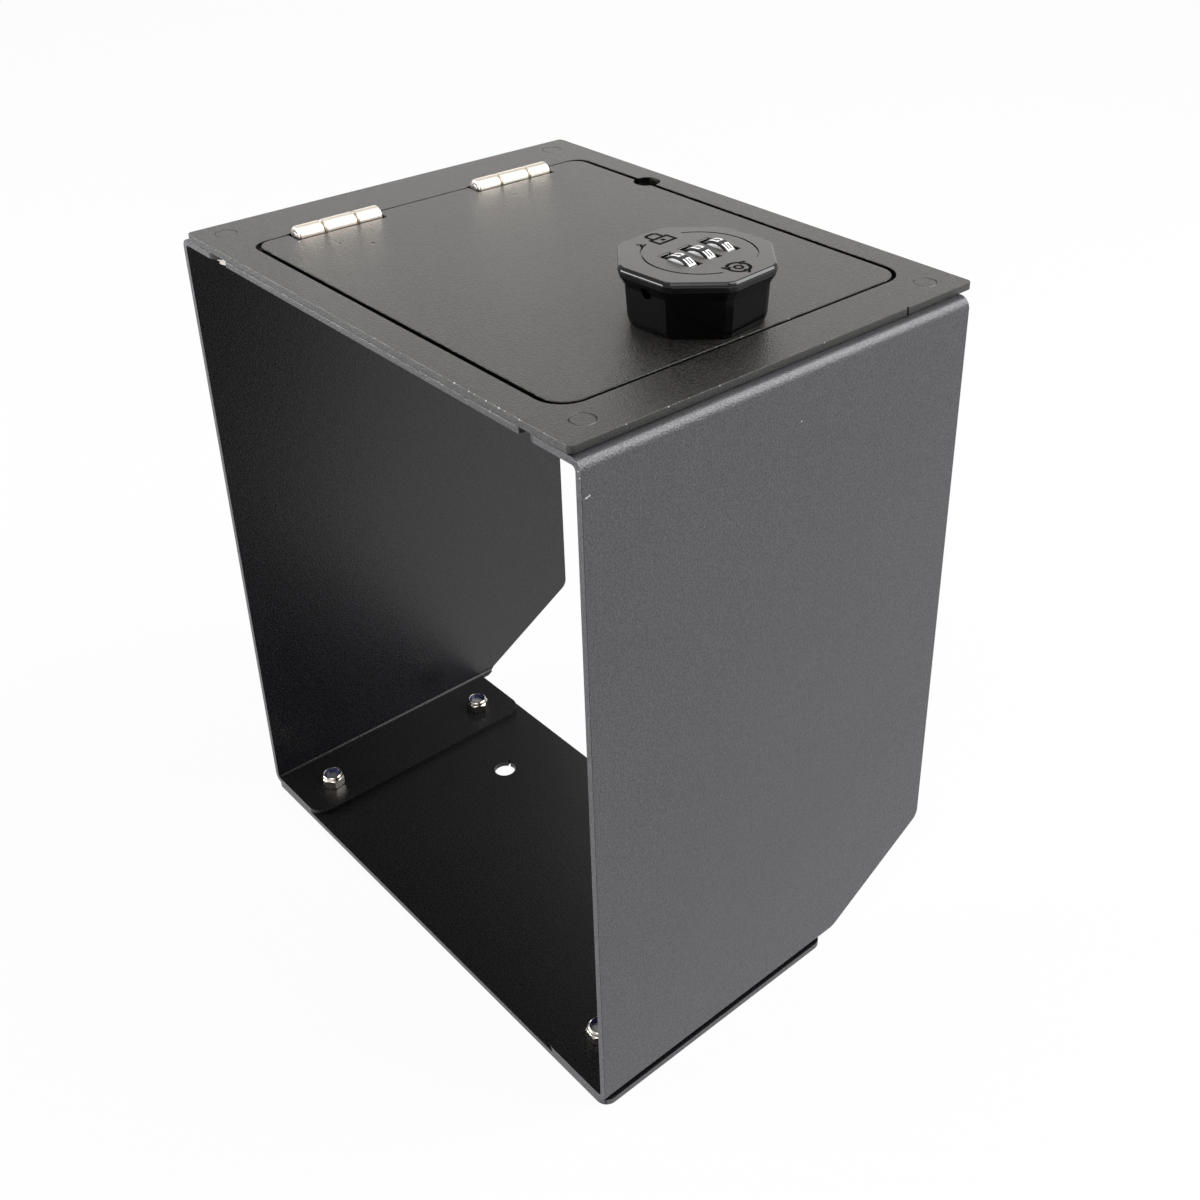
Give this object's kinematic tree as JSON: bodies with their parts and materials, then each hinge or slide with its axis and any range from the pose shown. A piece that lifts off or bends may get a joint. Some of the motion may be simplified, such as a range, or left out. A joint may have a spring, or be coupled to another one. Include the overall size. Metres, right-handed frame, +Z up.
{
  "type": "console safe",
  "caption": "Open-framed sheet steel console safe with a flush hinged lid and an octagonal combination knob, held together by flush studs and lock nuts.",
  "frame": {"origin": "on the floor, under the middle of the shell's bounding box", "axes": "+X to the right, from the hinges towards the lock; +Y from the open front to the back; +Z up"},
  "size_m": [0.208, 0.156, 0.2565],
  "materials": {
    "top_coat": "fine textured matt powder coat",
    "lid_coat": "fine textured matt powder coat",
    "panel_coat": "fine textured matt powder coat",
    "base_coat": "fine textured matt powder coat",
    "ledge_coat": "fine textured matt powder coat",
    "hinge_metal": "bright nickel plating",
    "pin_metal": "drawn steel",
    "stud_metal": "zinc plated",
    "nut_metal": "bright zinc plating",
    "nylon": "dark blue nylon",
    "knob_body": "satin black",
    "knob_cap": "satin dark grey",
    "dial": "black with white numbers and white sides",
    "spring_steel": "spring steel",
    "zinc": "zinc die casting",
    "gasket": "black rubber"
  },
  "bodies": {
    "shell": {"top_frame": "top_coat", "left_panel": "panel_coat", "right_panel": "panel_coat", "base_plate": "base_coat", "front_ledge": "ledge_coat", "rear_ledge": "ledge_coat", "front_hinge_frame_leaf": "hinge_metal", "front_hinge_pin": "pin_metal", "rear_hinge_frame_leaf": "hinge_metal", "rear_hinge_pin": "pin_metal", "top_studs": "stud_metal", "top_nuts": "nut_metal", "top_nut_rings": "nylon", "base_studs": "stud_metal", "base_nuts": "nut_metal", "base_nut_rings": "nylon"},
    "lid": {"lid": "lid_coat", "front_hinge_lid_leaf": "hinge_metal", "rear_hinge_lid_leaf": "hinge_metal", "lock_barrel": "zinc", "lock_gasket": "gasket", "lock_washer": "nut_metal", "lock_nut": "nut_metal"},
    "knob": {"knob_body": "knob_body", "knob_cap": "knob_cap", "dial_axle": "pin_metal", "detent_springs": "spring_steel", "drive_plate": "zinc", "drive_screws": "nut_metal", "cam": "zinc", "cam_washer": "nut_metal", "cam_screw": "nut_metal"},
    "front_dial": {"front_dial": "dial"},
    "middle_dial": {"middle_dial": "dial"},
    "rear_dial": {"rear_dial": "dial"}
  },
  "joints": [
    {"name": "lid_hinge", "type": "hinge", "parent": "shell", "child": "lid", "pos_m": [-0.0729, 0, 0.237], "axis": [0, -1, 0], "range_deg": [0, 175]},
    {"name": "knob_turn", "type": "hinge", "parent": "lid", "child": "knob", "pos_m": [0.061, 0, 0.237], "axis": [0, 0, 1], "range_deg": [-4.5, 85.5]},
    {"name": "front_dial_spin", "type": "hinge", "parent": "knob", "child": "front_dial", "pos_m": [0.061, 0, 0.249], "axis": [-0.0785, 0.9969, 0], "continuous": true},
    {"name": "middle_dial_spin", "type": "hinge", "parent": "knob", "child": "middle_dial", "pos_m": [0.061, 0, 0.249], "axis": [-0.0785, 0.9969, 0], "continuous": true},
    {"name": "rear_dial_spin", "type": "hinge", "parent": "knob", "child": "rear_dial", "pos_m": [0.061, 0, 0.249], "axis": [-0.0785, 0.9969, 0], "continuous": true}
  ]
}
